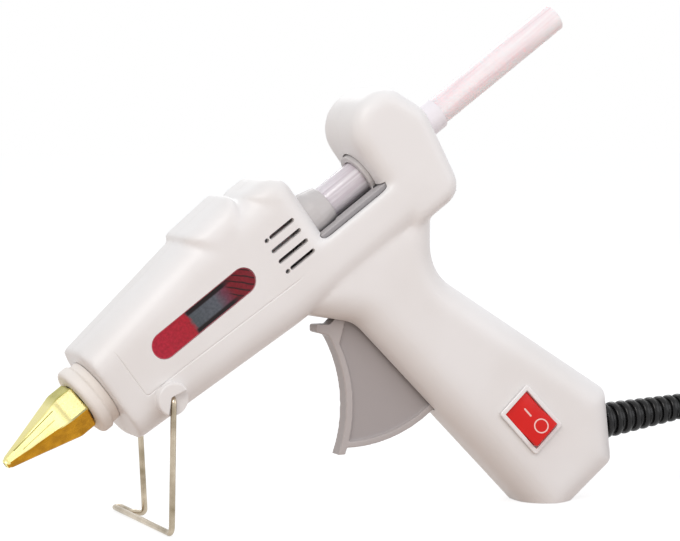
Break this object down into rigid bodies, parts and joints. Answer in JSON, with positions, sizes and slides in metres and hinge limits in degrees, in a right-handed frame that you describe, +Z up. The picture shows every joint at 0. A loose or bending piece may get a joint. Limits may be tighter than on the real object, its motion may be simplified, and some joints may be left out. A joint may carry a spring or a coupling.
{
  "type": "hot glue applicator",
  "caption": "Pistol-shaped hot glue applicator with a trigger feed, brass nozzle, rocker switch, viewing window, wire stand and mains cord.",
  "frame": {"origin": "middle of the handle butt's flat bottom, which stands on the surface", "axes": "+X from the nozzle towards the cord, +Y to the side without the switch, +Z up"},
  "size_m": [0.3964, 0.0911, 0.1934],
  "materials": {
    "housing_plastic": "warm white ABS, satin",
    "collar_silicone": "off-white silicone, matt",
    "nozzle_brass": "bright machined",
    "chamber_aluminium": "cast",
    "heater_ceramic": "ceramic heater in foil, matt",
    "seal_silicone": "red silicone, matt",
    "spring_steel": "bright drawn wire",
    "window_red": "red see-through plastic, polished",
    "carriage_plastic": "light grey moulded",
    "sleeve_clear": "clear plastic",
    "jaw_steel": "stamped",
    "pin_steel": "ground",
    "trigger_plastic": "grey moulded, satin",
    "glue_stick": "milky hot-melt glue",
    "inlet_bush": "pale grey moulded",
    "switch_frame": "white moulded",
    "switch_red": "red moulded, shiny",
    "terminal_brass": "stamped",
    "screw_steel": "zinc plated",
    "stand_wire": "nickel-plated wire, bright",
    "relief_rubber": "black, matt",
    "cord_rubber": "black, satin",
    "lead_insulation": "cream insulation",
    "plug_rubber": "black, satin",
    "plug_pin_nickel": "nickel-plated brass"
  },
  "bodies": {
    "casing": {"casing_left": "housing_plastic", "casing_right": "housing_plastic", "window_left": "window_red", "window_right": "window_red", "nozzle_collar": "collar_silicone", "melt_chamber": "chamber_aluminium", "heater_plate": "heater_ceramic", "nozzle": "nozzle_brass", "chamber_seal": "seal_silicone", "seal_clamp": "spring_steel", "inlet_bush": "inlet_bush", "trigger_pin": "pin_steel", "return_spring": "spring_steel", "switch_body": "switch_frame", "switch_terminal_1": "terminal_brass", "switch_terminal_2": "terminal_brass", "strain_relief": "relief_rubber", "cord_held_end": "cord_rubber", "cord_coil": "cord_rubber", "cord_lead": "cord_rubber", "cord_tail": "cord_rubber", "plug_body": "plug_rubber", "plug_pin_1": "plug_pin_nickel", "plug_pin_2": "plug_pin_nickel", "lead_cord_to_heater": "lead_insulation", "lead_switch_to_heater": "lead_insulation", "lead_cord_to_switch": "lead_insulation", "casing_screw_1": "screw_steel", "casing_screw_2": "screw_steel", "casing_screw_3": "screw_steel", "casing_screw_4": "screw_steel", "casing_screw_5": "screw_steel", "casing_screw_6": "screw_steel", "casing_screw_7": "screw_steel"},
    "carriage": {"feed_carriage": "carriage_plastic", "feed_sleeve": "sleeve_clear", "jaw_pin": "pin_steel"},
    "jaw": {"grip_jaw": "jaw_steel"},
    "stick": {"glue_stick": "glue_stick"},
    "trigger": {"trigger": "trigger_plastic"},
    "stand": {"wire_stand": "stand_wire"},
    "rocker": {"switch_rocker": "switch_red"}
  },
  "joints": [
    {"name": "trigger_pivot", "type": "hinge", "parent": "casing", "child": "trigger", "pos_m": [-0.084, 0, 0.08], "axis": [0, -1, 0], "range_deg": [0, 22], "stiffness_Nm_per_rad": 0.1, "springref_deg": -20.05},
    {"name": "carriage_slide", "type": "slide", "parent": "casing", "child": "carriage", "axis": [-0.807, 0, -0.5906], "range_m": [0, 0.0076], "deforming": ["return_spring"]},
    {"name": "jaw_pivot", "type": "hinge", "parent": "carriage", "child": "jaw", "pos_m": [-0.09418, 0, 0.10283], "axis": [0, 1, 0], "range_deg": [0, 4]},
    {"name": "stick_slide", "type": "slide", "parent": "casing", "child": "stick", "axis": [-0.807, 0, -0.5906], "range_m": [-0.06, 0.04]},
    {"name": "rocker_pivot", "type": "hinge", "parent": "casing", "child": "rocker", "pos_m": [-0.0128, -0.0135, 0.0337], "axis": [0.7254, 0, 0.6884], "range_deg": [0, 20]},
    {"name": "stand_pivot", "type": "hinge", "parent": "casing", "child": "stand", "pos_m": [-0.16041, 0, 0.0494], "axis": [0, -1, 0], "range_deg": [0, 104]}
  ],
  "couplings": [
    {"joint": "carriage_slide", "follows": "trigger_pivot", "m_per_rad": 0.01937},
    {"joint": "jaw_pivot", "follows": "trigger_pivot", "ratio": 0.1773}
  ]
}
